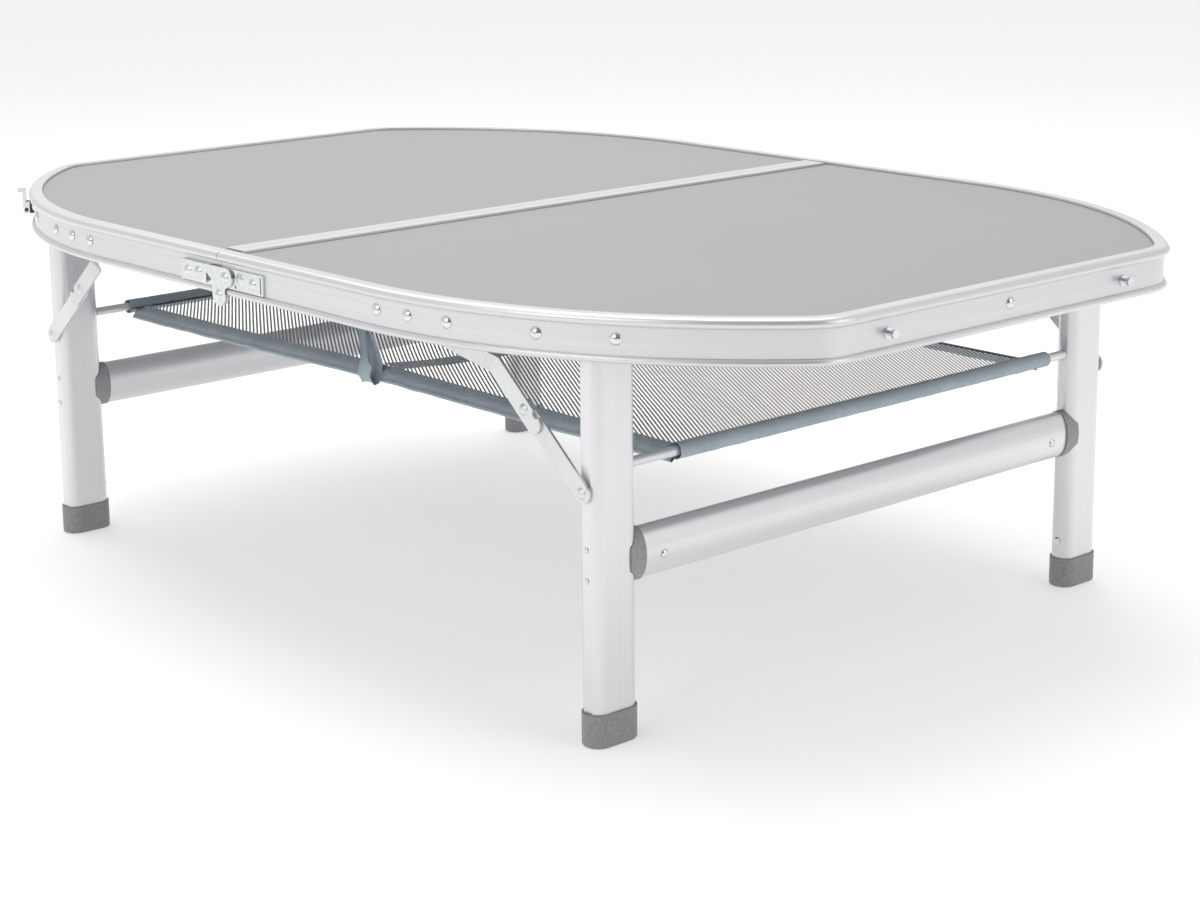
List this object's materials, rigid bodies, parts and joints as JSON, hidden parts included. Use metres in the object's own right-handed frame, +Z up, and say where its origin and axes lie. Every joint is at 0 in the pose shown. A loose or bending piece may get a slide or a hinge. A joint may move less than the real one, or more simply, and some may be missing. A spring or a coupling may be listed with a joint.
{
  "type": "camping table",
  "caption": "Low folding camping table with a bowed grey top in a metal rim, a seam hinge, folding leg frames with stays and a net shelf.",
  "frame": {"origin": "floor level under the middle of the table", "axes": "+X along the table from the left half to the right half, +Y across it, +Z up"},
  "size_m": [1.2082, 0.8242, 0.378],
  "materials": {
    "anodised_rim": "satin anodised",
    "anodised_leg": "satin anodised",
    "stay_alloy": "satin",
    "panel_board": "fine matt laminate",
    "bright_steel": "bright",
    "zinc_steel": "zinc plated",
    "grey_plastic": "moulded",
    "black_plastic": "moulded",
    "rod_metal": "smooth",
    "mesh_fabric": "open net",
    "binding_fabric": "woven tape"
  },
  "bodies": {
    "left_half": {"rim_left": "anodised_rim", "panel_left": "panel_board", "seam_rail_left": "anodised_rim", "rim_rivets_left": "bright_steel", "end_pegs_left": "bright_steel", "leg_hanger_left_near": "black_plastic", "leg_hanger_left_far": "black_plastic", "stay_block_left_near": "zinc_steel", "stay_block_left_far": "zinc_steel", "hinge_front_leaf_near": "zinc_steel", "hinge_front_leaf_far": "zinc_steel", "clip_base_near": "zinc_steel", "clip_base_far": "zinc_steel", "net_mesh": "mesh_fabric", "net_sleeve_left": "binding_fabric", "net_sleeve_right": "binding_fabric", "net_binding_near": "binding_fabric", "net_binding_far": "binding_fabric", "net_middle_band": "binding_fabric", "net_strap_near": "binding_fabric", "net_strap_far": "binding_fabric"},
    "right_half": {"rim_right": "anodised_rim", "panel_right": "panel_board", "seam_rail_right": "anodised_rim", "rim_rivets_right": "bright_steel", "end_pegs_right": "bright_steel", "leg_hanger_right_near": "black_plastic", "leg_hanger_right_far": "black_plastic", "stay_block_right_near": "zinc_steel", "stay_block_right_far": "zinc_steel", "hinge_back_leaf_near": "zinc_steel", "hinge_back_leaf_far": "zinc_steel"},
    "clip_near": {"clip_lever_near": "zinc_steel"},
    "clip_far": {"clip_lever_far": "zinc_steel"},
    "left_legs": {"leg_left_near": "anodised_leg", "leg_left_far": "anodised_leg", "foot_left_near": "grey_plastic", "foot_left_far": "grey_plastic", "crossbar_left": "anodised_leg", "net_rod_left": "rod_metal", "frame_fasteners_left": "bright_steel", "saddle_cap_left_near": "grey_plastic", "saddle_cap_left_far": "grey_plastic"},
    "left_upper_stays": {"upper_link_left_near": "stay_alloy", "upper_link_left_far": "stay_alloy"},
    "left_lower_stays": {"lower_link_left_near": "stay_alloy", "lower_link_left_far": "stay_alloy"},
    "right_legs": {"leg_right_near": "anodised_leg", "leg_right_far": "anodised_leg", "foot_right_near": "grey_plastic", "foot_right_far": "grey_plastic", "crossbar_right": "anodised_leg", "net_rod_right": "rod_metal", "frame_fasteners_right": "bright_steel", "saddle_cap_right_near": "grey_plastic", "saddle_cap_right_far": "grey_plastic"},
    "right_upper_stays": {"upper_link_right_near": "stay_alloy", "upper_link_right_far": "stay_alloy"},
    "right_lower_stays": {"lower_link_right_near": "stay_alloy", "lower_link_right_far": "stay_alloy"}
  },
  "joints": [
    {"name": "top_fold", "type": "hinge", "parent": "left_half", "child": "right_half", "pos_m": [0, 0, 0.3375], "axis": [0, 1, 0], "range_deg": [0, 90], "deforming": ["net_mesh", "net_sleeve_left", "net_sleeve_right", "net_binding_near", "net_binding_far", "net_middle_band", "net_strap_near", "net_strap_far"]},
    {"name": "left_leg_fold", "type": "hinge", "parent": "left_half", "child": "left_legs", "pos_m": [-0.43, 0, 0.355], "axis": [0, -1, 0], "range_deg": [0, 90], "deforming": ["net_mesh", "net_sleeve_left", "net_sleeve_right", "net_binding_near", "net_binding_far", "net_middle_band", "net_strap_near", "net_strap_far"]},
    {"name": "left_stay_swing", "type": "hinge", "parent": "left_half", "child": "left_upper_stays", "pos_m": [-0.275, 0, 0.357], "axis": [0, -1, 0], "range_deg": [-35.87, 0]},
    {"name": "left_stay_knee", "type": "hinge", "parent": "left_upper_stays", "child": "left_lower_stays", "pos_m": [-0.36123, 0, 0.28245], "axis": [0, -1, 0], "range_deg": [0, 180]},
    {"name": "right_leg_fold", "type": "hinge", "parent": "right_half", "child": "right_legs", "pos_m": [0.43, 0, 0.355], "axis": [0, 1, 0], "range_deg": [0, 90], "deforming": ["net_mesh", "net_sleeve_left", "net_sleeve_right", "net_binding_near", "net_binding_far", "net_middle_band", "net_strap_near", "net_strap_far"]},
    {"name": "right_stay_swing", "type": "hinge", "parent": "right_half", "child": "right_upper_stays", "pos_m": [0.275, 0, 0.357], "axis": [0, 1, 0], "range_deg": [-35.87, 0]},
    {"name": "right_stay_knee", "type": "hinge", "parent": "right_upper_stays", "child": "right_lower_stays", "pos_m": [0.36123, 0, 0.28245], "axis": [0, 1, 0], "range_deg": [0, 180]},
    {"name": "clip_near_swing", "type": "hinge", "parent": "left_half", "child": "clip_near", "pos_m": [-0.50481, -0.32426, 0.349], "axis": [0.809, -0.5878, 0], "range_deg": [0, 170]},
    {"name": "clip_far_swing", "type": "hinge", "parent": "left_half", "child": "clip_far", "pos_m": [-0.50481, 0.32426, 0.349], "axis": [-0.809, -0.5878, 0], "range_deg": [0, 170]}
  ],
  "couplings": [
    {"joint": "left_stay_swing", "follows": "left_leg_fold", "ratio": -0.3986},
    {"joint": "left_stay_knee", "follows": "left_leg_fold", "ratio": 2},
    {"joint": "right_stay_swing", "follows": "right_leg_fold", "ratio": -0.3986},
    {"joint": "right_stay_knee", "follows": "right_leg_fold", "ratio": 2}
  ]
}
